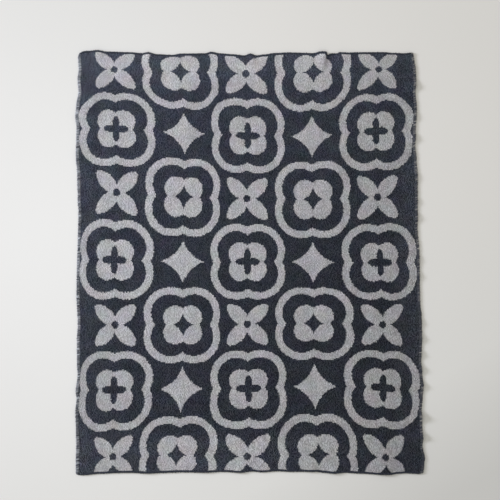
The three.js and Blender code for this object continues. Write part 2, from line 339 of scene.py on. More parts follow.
def wander(table, places, start, end):
    """How far an edge lies outside its straight line at places, running out to nothing at the corners."""
    rows = np.array(sorted([(start, 0.0), *table, (end, 0.0)]))
    left = np.clip(np.searchsorted(rows[:, 0], places) - 1, 0, len(rows) - 2)
    share = smooth((places - rows[left, 0]) / (rows[left + 1, 0] - rows[left, 0]))
    return rows[left, 1] * (1.0 - share) + rows[left + 1, 1] * share


def line(start, end, places, axis):
    """The other coordinate, at places along one axis, of the straight line from start to end."""
    share = (places - start[axis]) / (end[axis] - start[axis])
    return start[1 - axis] + share * (end[1 - axis] - start[1 - axis])


def round_corners(cloth, across, along):
    """Draws the places near the four corners of the flat cloth in, onto their rounded corners."""
    half_width = cloth.width / 2
    half_length = cloth.length / 2
    for name, radius in CORNER_RADII.items():
        up = 1.0 if "head" in name else -1.0
        right = 1.0 if "right" in name else -1.0
        side = radius - (half_width - right * across)
        end = radius - (half_length - up * along)
        near = (side > 0) & (end > 0)
        twice = 2.0 * radius * radius
        drawn_side = side * np.sqrt(np.clip(1.0 - end * end / twice, 0.0, 1.0))
        drawn_end = end * np.sqrt(np.clip(1.0 - side * side / twice, 0.0, 1.0))
        across = np.where(near, right * (half_width - radius + drawn_side), across)
        along = np.where(near, up * (half_length - radius + drawn_end), along)
    return across, along


def drift_tables(cloth, motifs):
    """Knots across and along, and the drift at each: the motifs' own, carried on to the edges."""
    half_width = cloth.width / 2
    half_length = cloth.length / 2
    rows = sorted(MOTIF_DRIFT)
    across = np.array([-half_width, *(motifs.across * np.array(MOTIF_COLUMNS)), half_width])
    along = np.array([-half_length, *(motifs.shift_along + motifs.along * np.array(rows)), half_length])
    drift = np.zeros((len(along), len(across), 2))
    drift[1:-1, 1:-1] = DRIFT_SCALE * np.array([MOTIF_DRIFT[row] for row in rows])
    drift[0, :, 0] = drift[1, :, 0]
    drift[-1, :, 0] = drift[-2, :, 0]
    drift[1:-1, [0, -1], 1] = DRIFT_SCALE * np.array([SIDE_DRIFT[row] for row in rows])
    drift[:, 0, 0] = line(FOOT_LEFT, HEAD_LEFT, along, 1) + half_width
    drift[:, -1, 0] = line(FOOT_RIGHT, HEAD_RIGHT, along, 1) - half_width
    drift[0, :, 1] = line(FOOT_LEFT, FOOT_RIGHT, across, 0) + half_length
    drift[-1, :, 1] = line(HEAD_LEFT, HEAD_RIGHT, across, 0) - half_length
    return across, along, drift


def along_and_beside(crest, x, y):
    """How far places are along a fold's or a lap's crest, and to the left of it."""
    angle = np.radians(crest.heading)
    along = (x - crest.x) * np.cos(angle) + (y - crest.y) * np.sin(angle)
    beside = (y - crest.y) * np.cos(angle) - (x - crest.x) * np.sin(angle)
    return along, beside


def lapped(x, y):
    """Draws the cloth on the right of the lapped pleat in, for what its flank takes up."""
    along, beside = along_and_beside(HEAD_LAP, x, y)
    share = smooth(beside / HEAD_LAP.width) * smooth(1.0 - beside / HEAD_LAP.reach)
    share = share * smooth(1.0 - along / HEAD_LAP.along)
    angle = np.radians(HEAD_LAP.heading)
    moved_x = HEAD_LAP.hidden * np.sin(angle) + HEAD_LAP.slid * np.cos(angle)
    moved_y = HEAD_LAP.slid * np.sin(angle) - HEAD_LAP.hidden * np.cos(angle)
    return x + share * moved_x, y + share * moved_y


def tugged(x, y):
    """The places after the small tugs on the knit."""
    moved_x = x
    moved_y = y
    for tug in TUGS:
        share = smooth(1.0 - np.hypot(x - tug.x, y - tug.y) / tug.reach)
        moved_x = moved_x + share * tug.across
        moved_y = moved_y + share * tug.along
    return moved_x, moved_y


def felt(inside):
    """How much of an edge's wandering is felt this far inside it."""
    return 1.0 - smooth(inside / EDGE_WANDER_REACH)


def lay(settings, across, along):
    """Where places on the flat cloth lie: x, y, and how high the underside and the bare face are."""
    cloth = settings.cloth
    knots_across, knots_along, drift = drift_tables(cloth, settings.motifs)
    moved = []
    for axis in (0, 1):
        columns = [through(knots_along, drift[:, i, axis], along) for i in range(len(knots_across))]
        moved.append(through(knots_across, np.stack(columns, axis=1), across))
    x, y = tugged(across + moved[0], along + moved[1])
    half_width = cloth.width / 2
    half_length = cloth.length / 2
    left = wander(LEFT_EDGE, y, FOOT_LEFT[1], HEAD_LEFT[1]) * felt(half_width + across)
    right = wander(RIGHT_EDGE, y, FOOT_RIGHT[1], HEAD_RIGHT[1]) * felt(half_width - across)
    down = wander(FOOT_EDGE, x, FOOT_LEFT[0], FOOT_RIGHT[0]) * felt(half_length + along)
    up = wander(HEAD_EDGE, x, HEAD_LEFT[0], HEAD_RIGHT[0]) * felt(half_length - along)
    x = x + right - left
    y = y + up - down
    low = lift(x, y)
    inside = np.minimum(half_width - np.abs(across), half_length - np.abs(along))
    bead = cloth.bead * smooth(1.0 - inside / BEAD_REACH)
    high = low + cloth.thickness + bead + unevenness(x, y, cloth.unevenness)
    return *lapped(x, y), low, high


def lift(x, y):
    """How high the underside of the cloth stands over the floor."""
    height = np.zeros_like(x)
    for fold in FOLDS:
        along, beside = along_and_beside(fold, x, y)
        width = np.where(beside > 0, fold.left, fold.right)
        shape = smooth(1.0 - np.abs(along) / fold.along) * smooth(1.0 - np.abs(beside) / width)
        height = np.maximum(height, fold.height * shape)
    return height


# How long, in metres, and in which heading, in degrees, the soft waves of the face run.
WAVES = [(0.31, 20), (0.23, 100), (0.17, 64), (0.12, 148), (0.083, 10), (0.061, 83)]
WAVE_BEND = 0.35  # how far a wave's crest bends to and fro, as a share of its length
WAVE_BEND_RATE = 2.6  # how quickly, in radians to a length of the wave


def unevenness(x, y, height):
    """Soft waves in the cloth's face, at most height high."""
    total = np.zeros_like(x)
    for number, (length, heading) in enumerate(WAVES):
        angle = np.radians(heading)
        run = x * np.cos(angle) + y * np.sin(angle)
        bend = WAVE_BEND * np.sin(WAVE_BEND_RATE * (x * np.sin(angle) - y * np.cos(angle)) / length)
        total += np.sin(2.0 * np.pi * (run / length + bend) + number)
    return height * (0.5 + 0.5 * total / len(WAVES))


# Meshes from arrays

def make_object(name, points, faces, materials):
    """A smooth-shaded object from an array of points and a list or array of faces."""
    mesh = bpy.data.meshes.new(name)
    mesh.from_pydata(points.tolist(), [], faces.tolist() if hasattr(faces, "tolist") else faces)
    mesh.validate()
    mesh.shade_smooth()
    for material in materials:
        mesh.materials.append(material)
    made = bpy.data.objects.new(name, mesh)
    bpy.context.scene.collection.objects.link(made)
    return made


def set_map(mesh, name, places):
    """Gives the mesh a UV map with a place for each of its points."""
    layer = mesh.uv_layers.new(name=name)
    corners = np.empty(len(mesh.loops), dtype=np.int32)
    mesh.loops.foreach_get("vertex_index", corners)
    layer.uv.foreach_set("vector", places[corners].astype(np.float32).ravel())


def bake_places(cloth, across, along, start=0.0, end=1.0):
    """The flat cloth laid over a strip of the unit square, so that a bake keeps every stitch."""
    u = start + (across / cloth.width + 0.5) * (end - start)
    return np.stack([u, along / cloth.length + 0.5], axis=1)


# Formulas in a shader's nodes

def feed(tree, node, inputs):
    """Gives a node's inputs, by name or number, Values, sockets, plain numbers or plain colours."""
    for name, given in inputs.items():
        entry = node.inputs[name]
        if isinstance(given, Value):
            tree.links.new(given.socket, entry)
        elif isinstance(given, bpy.types.NodeSocket):
            tree.links.new(given, entry)
        elif entry.type == "RGBA":
            entry.default_value = (*given[:3], 1.0)
        else:
            entry.default_value = given


def add_node(tree, kind, inputs=None, **settings):
    """A new node, with its settings made and its inputs fed."""
    node = tree.nodes.new(kind)
    for name, value in settings.items():
        setattr(node, name, value)
    feed(tree, node, inputs or {})
    return node


class Value:
    """A number in a node tree. Arithmetic on it adds maths nodes."""

    def __init__(self, tree, socket):
        self.tree = tree
        self.socket = socket

    def maths(self, operation, *others):
        """What a maths node makes of this value and the others."""
        inputs = dict(enumerate((self, *others)))
        node = add_node(self.tree, "ShaderNodeMath", inputs, operation=operation)
        return Value(self.tree, node.outputs[0])

    def __add__(self, other):
        return self.maths("ADD", other)

    def __sub__(self, other):
        return self.maths("SUBTRACT", other)

    def __mul__(self, other):
        return self.maths("MULTIPLY", other)

    def __truediv__(self, other):
        return self.maths("DIVIDE", other)

    def least(self, other):
        """The lower of two values."""
        return self.maths("MINIMUM", other)

    def most(self, other):
        """The higher of two values."""
        return self.maths("MAXIMUM", other)

    def less_from(self, number):
        """A number less this value."""
        return (self * -1.0) + number


def distance(x, y):
    """How far (x, y) is from the origin."""
    return (x * x + y * y).maths("SQRT")


def inside_circle(u, v, centre_u, centre_v, radius):
    """How deep (u, v) is inside a circle, negative outside it."""
    return distance(u - centre_u, v - centre_v).less_from(radius)


def inside_oval(along, beside, middle, half_length, half_width):
    """How deep a place is inside an oval, as if it were a circle of its half width."""
    return distance((along - middle) * (half_width / half_length), beside).less_from(half_width)


def inside_leaf(along, beside, middle, half_length, half_width):
    """How deep a place is inside a pointed leaf, between the two arcs that bound it."""
    radius = (half_length ** 2 + half_width ** 2) / (2.0 * half_width)
    return inside_circle(along, beside, middle, half_width - radius, radius)


def inside_star(u, v, offset, tip):
    """How deep a place is inside a four-pointed star with hollow sides, cut by four circles."""
    radius = ((offset - tip) ** 2 + offset ** 2) ** 0.5
    outside_arc = inside_circle(u, v, offset, offset, radius) * -1.0
    return outside_arc.least(u.most(v).less_from(offset))


# The small motifs, from their own centre: the plus of four ovals and the dark star in the hearts of
# the medallions, the plain pale star, and the flower of four leaves.
PLUS_ARM = {"middle": 0.0220, "half_length": 0.0245, "half_width": 0.0128}
DARK_STAR = {"offset": 0.0535, "tip": 0.0375}
DARK_STAR_RISE = 1.12
PALE_STAR = {"offset": 0.1146, "tip": 0.0800}
PALE_STAR_RISE = 1.05
PETAL = {"middle": 0.0520, "half_length": 0.0600, "half_width": 0.0275}
PETAL_REACH = 0.1062
FLOWER_EYE = 0.0136
SMALL_RISE = 1.045  # the smallest motifs are a little taller than wide
DIAGONAL = 0.5 ** 0.5


def build_motif_group(motifs):
    """A node group that says how deep inside the pale figure a place on the flat cloth is, in metres."""
    tree = bpy.data.node_groups.new("Tile motifs", "ShaderNodeTree")
    for name, way in {"Across": "INPUT", "Along": "INPUT", "Depth": "OUTPUT"}.items():
        tree.interface.new_socket(name, in_out=way, socket_type="NodeSocketFloat")
    entry = add_node(tree, "NodeGroupInput")
    across = Value(tree, entry.outputs["Across"])
    along = Value(tree, entry.outputs["Along"]) - motifs.shift_along

    # Distances from the nearest column and row of each of the two kinds, which alternate. The odd
    # columns are only two, so that the ground is plain between the outer motifs and the side edges.
    u_even = across.maths("PINGPONG", motifs.across)
    v_even = along.maths("PINGPONG", motifs.along)
    u_odd = (across.maths("ABSOLUTE") - motifs.across).maths("ABSOLUTE")
    v_odd = v_even.less_from(motifs.along)

    def medallion(u, v, dark_middle):
        offset = motifs.lobe_offset
        from_band = distance(u - offset, v - offset) - motifs.band_radius
        band = from_band.maths("ABSOLUTE").less_from(motifs.band_width / 2)
        heart = inside_circle(u, v, motifs.heart_offset, motifs.heart_offset, motifs.heart_radius)
        return band.most(heart.least(dark_middle * -1.0))

    risen = v_even / SMALL_RISE
    plus = inside_oval(u_even, risen, **PLUS_ARM).most(inside_oval(risen, u_even, **PLUS_ARM))
    with_plus = medallion(u_even, v_even, plus)
    with_star = medallion(u_odd, v_odd, inside_star(u_odd, v_odd / DARK_STAR_RISE, **DARK_STAR))
    pale_star = inside_star(u_odd, v_even / PALE_STAR_RISE, **PALE_STAR)

    out = (u_even + v_odd) * DIAGONAL
    aside = (u_even - v_odd).maths("ABSOLUTE") * DIAGONAL
    from_middle = distance(u_even, v_odd)
    petal = inside_leaf(out, aside, **PETAL).least(from_middle.less_from(PETAL_REACH))
    flower = petal.least(from_middle - FLOWER_EYE)

    depth = with_plus.most(with_star).most(pale_star).most(flower)
    add_node(tree, "NodeGroupOutput", {"Depth": depth})
    return tree


def new_material(name):
    """A material with only a Principled shader, and that shader."""
    material = bpy.data.materials.new(name)
    material.use_nodes = True
    return material, material.node_tree, material.node_tree.nodes["Principled BSDF"]


def first_two(tree, vector):
    """The first two parts of a vector."""
    split = add_node(tree, "ShaderNodeSeparateXYZ", {0: vector})
    return Value(tree, split.outputs[0]), Value(tree, split.outputs[1])


def noise_at(tree, vector, turns, detail=2.0):
    """The grey value and the colour of a noise, so many turns to the metre."""
    node = add_node(tree, "ShaderNodeTexNoise", {"Vector": vector, "Scale": turns, "Detail": detail})
    return Value(tree, node.outputs["Fac"]), node.outputs["Color"]


def mix_colours(tree, share, first, second, blend="MIX"):
    """The colour between two colours or sockets, by the second one's share."""
    inputs = {0: share, 6: first, 7: second}
    return add_node(tree, "ShaderNodeMix", inputs, data_type="RGBA", blend_type=blend).outputs[2]


def from_range(value, low, high, to_low=0.0, to_high=1.0):
    """Takes a value from one range to another, held at the ends."""
    inputs = {"Value": value, "From Min": low, "From Max": high, "To Min": to_low, "To Max": to_high}
    node = add_node(value.tree, "ShaderNodeMapRange", inputs, clamp=True)
    return Value(value.tree, node.outputs["Result"])


def tinted(colour, tint):
    """A plain colour, each of whose parts is made more or less by a tint."""
    return tuple(part * share for part, share in zip(colour, tint))


def scaled_colour(tree, colour, factor):
    """A colour made brighter or darker by a Value."""
    inputs = {0: colour, "Scale": factor}
    return add_node(tree, "ShaderNodeVectorMath", inputs, operation="SCALE").outputs[0]


# A fine relief: its turns to the metre, its detail, its height and how strongly it shades.
Grain = namedtuple("Grain", "turns detail height strength")
FIBRES = Grain(900.0, 4.0, 0.0008, 0.5)
BACK_FUZZ = Grain(520.0, 3.0, 0.0012, 0.8)
THREAD_FUZZ = Grain(420.0, 3.0, 0.0007, 0.6)
NOISE_RANGE = (0.3, 0.7)  # between which values most of a noise lies


def bump_from(tree, relief, grain):
    """The normals of a surface on which a value stands out as relief."""
    inputs = {"Height": relief, "Distance": grain.height, "Strength": grain.strength}
    return add_node(tree, "ShaderNodeBump", inputs).outputs["Normal"]


# The matt, slightly velvety shine of brushed yarn, and the plain floor's.
FLEECE = {"Roughness": 0.96, "Specular IOR Level": 0.10, "Sheen Weight": 0.12, "Sheen Roughness": 0.55}
FLOOR = {"Roughness": 0.9, "Specular IOR Level": 0.1}


# Painted light: how much paler than in the middle each yarn is drawn, for the light and sheen that fall
# stronger towards the head and the left, with each metre across and along, and with the square of the
# metres across and along.
FIGURE_PAINTED_LIGHT = (-0.10, 0.095, -0.16, 0.0)
GROUND_PAINTED_LIGHT = (-0.27, 0.48, 0.0, 0.60)
# How much more the stitches of each yarn differ in tone, likewise.
FIGURE_FLECK_FADE = (0.10, -0.10, 0.15, 0.0)
GROUND_FLECK_FADE = (0.05, -0.20, 0.10, 0.0)
GROUND_FLECK = 2.6  # how much more the slate stitches differ in tone than the pale ones
GROUND_HEATHER = 3.1  # and in hue
BESIDE = 0.17  # how much a stitch differs from those in the wales beside it, against from the mean
NEXT = 0.08  # the same for the courses before and after it
FLECK_TINT = 0.58  # how much of a fleck is the yarn's own colour made paler, the rest being plain grey
RIB_TONE = 0.025  # how much paler every other wale is
# How much the tone of each yarn drifts over a few centimetres, and how many turns to the metre that
# drift and the drift of the hue have.
FIGURE_CLOUD = 0.33
GROUND_CLOUD = 1.0
CLOUD_TURNS = 22.0
HUE_TURNS = 21.0
PALE_HUE_FROM = 0.25  # from which share of pale yarn a stitch's hue drifts as little as the pale yarn's
STREAK_TURNS = (75.0, 9.0, 1.0)  # how many streaks there are to the metre, across and along
STREAK_TONE = (0.955, 1.045)
# Painted light: along its edges the knit lies flatter, with less shade between its tufts, and that
# lighter shade is painted in as paler yarn. A band has a place across (axis 0) or along (axis 1) where it
# starts and one from which it is full, how much paler the slate and the pale yarn are drawn there, where
# along the band that is most, and how far from there it runs out.
Band = namedtuple("Band", "axis start full slate pale middle run")
PAINTED_LIGHT_BANDS = {
    "left": Band(0, -0.47, -0.63, 0.39, 0.0, -0.75, 2.2),
    "right": Band(0, 0.52, 0.56, 0.60, 0.0, -0.10, 0.72),
    "head": Band(1, 0.65, 0.73, 0.30, 0.08, -0.10, 1.3),
    "foot": Band(1, -0.61, -0.67, 0.42, 0.09, -0.25, 0.75),
}
BAND_FLECK = 0.9  # how much more the stitches differ where the knit is paler


def by_place(across, along, place_drift):
    """What a place's distance from the middle does to a yarn, by a table of painted light or of flecks
    above.
    """
    return across * place_drift[0] + along * place_drift[1] + across * across * place_drift[2] + along * along * place_drift[3] + 1.0


def between(share, first, second):
    """What lies between two numbers or two Values, by a share that is a Value."""
    gap = second - first
    return share * gap + first


def yarn_tones(tree, place, object_place, drawn, rib, figure, yarns):
    """The yarn's tone at a stitch, with streaks and painted light, and how much the stitch differs."""
    stretch = add_node(tree, "ShaderNodeMapping", {"Vector": place, "Scale": STREAK_TURNS})
    streaks, _ = noise_at(tree, stretch.outputs["Vector"], 1.0)
    cloudy, _ = noise_at(tree, object_place, CLOUD_TURNS, 3.0)
    across, along = first_two(tree, object_place)
    # Painted light: the yarn is drawn paler towards the head and the left.
    place_drift = between(figure, by_place(across, along, GROUND_PAINTED_LIGHT), by_place(across, along, FIGURE_PAINTED_LIGHT))
    cloud = (cloudy - 0.5) * between(figure, GROUND_CLOUD, FIGURE_CLOUD) + 1.0
    tone = place_drift * cloud * from_range(streaks, *NOISE_RANGE, *STREAK_TONE)
    fleck = between(figure, yarns.fleck * GROUND_FLECK, yarns.fleck)
    more = between(figure, by_place(across, along, GROUND_FLECK_FADE), by_place(across, along, FIGURE_FLECK_FADE))
    # Painted light: the knit is drawn paler in bands along its edges.
    bands = edge_painted_light((across, along), figure)
    drawn = drawn * fleck * more * (bands * BAND_FLECK + 1.0)
    return tone, drawn + rib * (2.0 * RIB_TONE) - RIB_TONE + bands


def edge_painted_light(place, figure):
    """Painted light: how much paler the knit is drawn in the bands along its four edges."""
    total = 0.0
    for band in PAINTED_LIGHT_BANDS.values():
        share = from_range(place[band.axis], band.start, band.full)
        away = (place[1 - band.axis] - band.middle) / band.run
        held = share * (away * away).less_from(1.0).most(0.0)
        total = held * between(figure, band.slate, band.pale) + total
    return total


def fleck_at(tree, wale, course, wales_away=0, courses_away=0):
    """The number from 0 to 1 and the colour drawn for a stitch, or for one some stitches away."""
    inputs = {0: wale + float(wales_away), 1: course + float(courses_away)}
    stitch = add_node(tree, "ShaderNodeCombineXYZ", inputs).outputs[0]
    white = add_node(tree, "ShaderNodeTexWhiteNoise", {"Vector": stitch}, noise_dimensions="2D")
    return Value(tree, white.outputs["Value"]), white.outputs["Color"]


def yarn_hue(tree, object_place, figure, yarns):
    """The slow drift of the yarn's hue, as a colour to multiply with."""
    _, drift = noise_at(tree, object_place, HUE_TURNS)
    pale = (figure * (1.0 / PALE_HUE_FROM)).least(1.0)
    amount = between(pale, 2.0 * yarns.heather * GROUND_HEATHER, 2.0 * yarns.heather)
    inputs = {0: drift, 1: amount, 2: amount * -0.5 + 1.0}
    return add_node(tree, "ShaderNodeVectorMath", inputs, operation="MULTIPLY_ADD").outputs[0]


# Between which depths inside the figure the knit turns from slate to pale.
OUTLINE = (0.0, 0.0008)
PLAIN_CORNER = 0.026  # how far from the head the left side's overlock is slate only
STRIP_PALE = 2.0  # how much more pale yarn the palest stitches of a strip have than its share says


def with_edging(figure, settings, across, along, own):
    """The share of pale yarn in the knit, with that of each stitch in the overlocked strips."""
    edging = settings.edging
    side = settings.cloth.width / 2 - inset(settings)
    end = settings.cloth.length / 2 - inset(settings) - edging.end_depth
    plain_from = settings.cloth.length / 2 - PLAIN_CORNER
    on_left = (across * -1.0).maths("GREATER_THAN", side - edging.left_depth)
    on_right = across.maths("GREATER_THAN", side - edging.right_depth)
    on_end = along.maths("ABSOLUTE").maths("GREATER_THAN", end)
    inside = on_left.most(on_right).most(on_end).less_from(1.0)
    # The left side's pale share is partly painted light on its rolled edge.
    pale_left = on_left * along.maths("LESS_THAN", plain_from) * edging.left_pale
    return figure * inside + (pale_left + on_right * edging.right_pale) * own * own * STRIP_PALE


def fleece_material(name, settings, group, painted_shade):
    """Plush in the two yarns, whose motifs are read from each stitch's flat place, with painted shade."""
    yarns = settings.yarns
    material, tree, shader = new_material(name)
    place = add_node(tree, "ShaderNodeUVMap", uv_map=FLAT_MAP).outputs["UV"]
    object_place = add_node(tree, "ShaderNodeTexCoord").outputs["Object"]
    across, along = first_two(tree, place)
    wale = (across / settings.plush.wale).maths("FLOOR")
    course = (along / settings.plush.course).maths("FLOOR")
    own, own_colour = fleck_at(tree, wale, course)
    drawn = add_node(tree, "ShaderNodeSeparateColor", {0: own_colour})

    jag = 2.0 * settings.motifs.jag
    steps = (settings.plush.wale, settings.plush.course)
    moved = {}
    for number, (axis, count) in enumerate({"Across": wale, "Along": course}.items()):
        out_of_place = (Value(tree, drawn.outputs[number]) - 0.5) * jag
        moved[axis] = (count + 0.5) * steps[number] + out_of_place
    # A group has its inputs only once its tree is set, and add_node does that first.
    motif = add_node(tree, "ShaderNodeGroup", moved, node_tree=group)
    figure = from_range(Value(tree, motif.outputs["Depth"]), *OUTLINE)
    figure = with_edging(figure, settings, across, along, own)

    colour = mix_colours(tree, figure, yarns.ground, yarns.figure)
    heathered = mix_colours(tree, 1.0, colour, yarn_hue(tree, object_place, figure, yarns), "MULTIPLY")
    rib = wale.maths("FLOORED_MODULO", 2.0)
    beside = fleck_at(tree, wale, course, -1)[0] + fleck_at(tree, wale, course, 1)[0]
    ahead = fleck_at(tree, wale, course, 0, -1)[0] + fleck_at(tree, wale, course, 0, 1)[0]
    # A stitch is the paler, the lower its own number and the higher those of its neighbours.
    unlike = own * -2.0 + 1.0 + (beside - 1.0) * (2.0 * BESIDE) + (ahead - 1.0) * (2.0 * NEXT)
    tone, fleck = yarn_tones(tree, place, object_place, unlike, rib, figure, yarns)
    # Painted shade darkens the knit between the tufts; tone and fleck also carry painted light.
    toned = scaled_colour(tree, heathered, (fleck * FLECK_TINT + 1.0) * tone * painted_shade)
    plain = between(figure, sum(yarns.ground) / 3.0, sum(yarns.figure) / 3.0)
    grey = plain * fleck * tone * (painted_shade * (1.0 - FLECK_TINT))
    flecked = add_node(tree, "ShaderNodeVectorMath", {0: toned, 1: grey}, operation="ADD").outputs[0]
    fibres, _ = noise_at(tree, object_place, FIBRES.turns, FIBRES.detail)
    relief = bump_from(tree, fibres, FIBRES)
    feed(tree, shader, {"Base Color": flecked, "Normal": relief, **FLEECE})
    return material


# The back of the knit: how many checks it has to the metre, how much pale yarn shows by its check and by
# its fuzz, what sum of both is all pale, and how much the checks stand out against the fuzz.
BACK_CHECKS = 210.0
BACK_CHECK_PALE = 0.26
BACK_FUZZ_PALE = 0.5
BACK_ALL_PALE = 0.7
BACK_CHECK_RELIEF = 0.6


def backing_material(settings):
    """The plain back of the knit, where floats of both yarns make a fine check."""
    yarns = settings.yarns
    material, tree, shader = new_material("Knit backing")
    place = add_node(tree, "ShaderNodeUVMap", uv_map=FLAT_MAP).outputs["UV"]
    check = add_node(tree, "ShaderNodeTexChecker", {"Vector": place, "Scale": BACK_CHECKS})
    checks = Value(tree, check.outputs["Fac"])
    fuzz, _ = noise_at(tree, place, BACK_FUZZ.turns, BACK_FUZZ.detail)
    pale = checks * BACK_CHECK_PALE + (fuzz - 0.5) * BACK_FUZZ_PALE
    colour = mix_colours(tree, from_range(pale, 0.0, BACK_ALL_PALE), yarns.ground, yarns.figure)
    relief = bump_from(tree, checks * BACK_CHECK_RELIEF + fuzz, BACK_FUZZ)
    feed(tree, shader, {"Base Color": colour, "Normal": relief, **FLEECE})
    return material


# The shade on the rolled edge is painted into the overlock's slate thread.
THREAD_PAINTED_SHADE = 0.78  # painted shade: the overlock's slate thread against the plush's slate yarn
# Its pale thread against the pale yarn, on the left side and on the right, where the light is warmer.
LEFT_TINT = (0.93, 1.00, 1.05)
RIGHT_TINT = (1.05, 1.02, 0.92)
THREAD_TONE = (0.80, 1.18)


def thread_material(settings):
    """Overlock thread: slate, mixed with the share of pale yarn that each stitch carries."""
    yarns = settings.yarns
    material, tree, shader = new_material("Overlock thread")
    place = add_node(tree, "ShaderNodeUVMap", uv_map=THREAD_MAP).outputs["UV"]
    pale_share, on_right = first_two(tree, place)
    object_place = add_node(tree, "ShaderNodeTexCoord").outputs["Object"]
    fuzz, _ = noise_at(tree, object_place, THREAD_FUZZ.turns, THREAD_FUZZ.detail)
    dark = tinted(yarns.ground, [THREAD_PAINTED_SHADE] * 3)
    pale = mix_colours(tree, on_right, tinted(yarns.figure, LEFT_TINT), tinted(yarns.figure, RIGHT_TINT))
    tone = from_range(fuzz, *NOISE_RANGE, *THREAD_TONE)
    colour = scaled_colour(tree, mix_colours(tree, pale_share, dark, pale), tone)
    relief = bump_from(tree, fuzz, THREAD_FUZZ)
    feed(tree, shader, {"Base Color": colour, "Normal": relief, **FLEECE})
    return material


# Painted shade: where, along a line towards the corner at the foot's right, the floor's colour begins and
# ends to be drawn darker, for light that falls off there, and its tone there. The slant is how far
# across counts against along on that line.
PAINTED_SHADE_CORNER = (0.85, 1.32, 1.0, 0.85)
PAINTED_SHADE_SLANT = 0.6
# Painted light: towards the head and the right the floor is drawn a little warmer and paler, for warm
# light bounced onto it: where this starts and from where it is full, across and along, and its tint there.
BOUNCE_LIGHT_ACROSS = (-0.45, 0.05)
BOUNCE_LIGHT_ALONG = (-0.35, 0.25)
BOUNCE_LIGHT_TINT = (1.024, 1.014, 1.006)
TOOTH_TURNS = 1.4
TOOTH_TONE = (0.995, 1.005)


def floor_material(studio):
    """A plain pale floor with the faintest tooth, so it isn't a flat colour, with painted shade and light.
    """
    material, tree, shader = new_material("Pale floor")
    object_place = add_node(tree, "ShaderNodeTexCoord").outputs["Object"]
    tooth, _ = noise_at(tree, object_place, TOOTH_TURNS)
    across, along = first_two(tree, object_place)
    # Painted shade towards the corner at the foot's right.
    painted_corner_shade = from_range(across * PAINTED_SHADE_SLANT - along, *PAINTED_SHADE_CORNER)
    tone = from_range(tooth, *NOISE_RANGE, *TOOTH_TONE) * painted_corner_shade
    # Painted warm bounced light towards the head and the right.
    painted_bounce_light = from_range(across, *BOUNCE_LIGHT_ACROSS) * from_range(along, *BOUNCE_LIGHT_ALONG)
    base = mix_colours(tree, painted_bounce_light, studio.floor, tinted(studio.floor, BOUNCE_LIGHT_TINT))
    feed(tree, shader, {"Base Color": scaled_colour(tree, base, tone), **FLOOR})
    return material


# The pieces

STITCH_ROOM = 1.3  # how many thread radii the stitches stand out past the rolled edge
KNIT_PAINTED_SHADE = 0.8  # painted shade of the knit between the tufts, against the tufts


def inset(settings):
    """How far the flat of the cloth stops short of its outline, for its rolled edge and its stitches."""
    return settings.cloth.roll + STITCH_ROOM * settings.edging.thread


def cloth_grid(settings):
    """Flat places of the cloth's mesh, row by row from the foot, with their number each way."""
    cloth = settings.cloth
    columns = round(cloth.width / cloth.mesh_step) + 1
    rows = round(cloth.length / cloth.mesh_step) + 1
    half_width = cloth.width / 2 - inset(settings)
    half_length = cloth.length / 2 - inset(settings)
    across = np.linspace(-half_width, half_width, columns)
    fine = np.arange(*FINE_COLUMNS)
    across = np.concatenate([across[across < fine[0] - FINE_COLUMNS[2]], fine, across[across > fine[-1]]])
    along = np.linspace(-half_length, half_length, rows)
    grid_across, grid_along = np.meshgrid(across, along)
    return (*round_corners(cloth, grid_across.ravel(), grid_along.ravel()), len(across), rows)


def rim_of(columns, rows):
    """Numbers of the grid's outermost points, counter-clockwise from the left end of the foot."""
    grid = np.arange(columns * rows).reshape(rows, columns)
    return np.concatenate([grid[0, :-1], grid[:-1, -1], grid[-1, :0:-1], grid[:0:-1, 0]])


def outward(x, y):
    """Unit vectors that point out of a closed counter-clockwise outline, at each of its points."""
    run = np.stack([np.roll(x, -1) - np.roll(x, 1), np.roll(y, -1) - np.roll(y, 1)], axis=1)
    run /= np.linalg.norm(run, axis=1, keepdims=True)
    return np.stack([run[:, 1], -run[:, 0]], axis=1)


# The turns of the rolled edge from the underside up: how far out, as a share of the roll, and how
# high, as a share of the cloth's thickness at the rim.
ROLL_TURNS = [(0.62, 0.10), (1.0, 0.36), (1.0, 0.66), (0.62, 0.92)]
# From where to where, across the square that a bake fills, the face and the back of the cloth are laid.
FACE_STRIP = (0.0, 0.70)
BACK_STRIP = (0.72, 1.0)


def rolled_edge(cloth, rim, x, y, low, high):
    """The points of each turn of the rolled edge, from the underside up."""
    out = outward(x[rim], y[rim]) * cloth.roll
    turns = []
    for share_out, share_up in ROLL_TURNS:
        turn_x = x[rim] + out[:, 0] * share_out
        turn_y = y[rim] + out[:, 1] * share_out
        turn_z = low[rim] + (high[rim] - low[rim]) * share_up
        turns.append(np.stack([turn_x, turn_y, turn_z], axis=1))
    return turns


def faces_between(lower, upper):
    """Faces between two closed rings of points, given by their numbers."""
    return np.stack([lower, np.roll(lower, -1), np.roll(upper, -1), upper], axis=1)


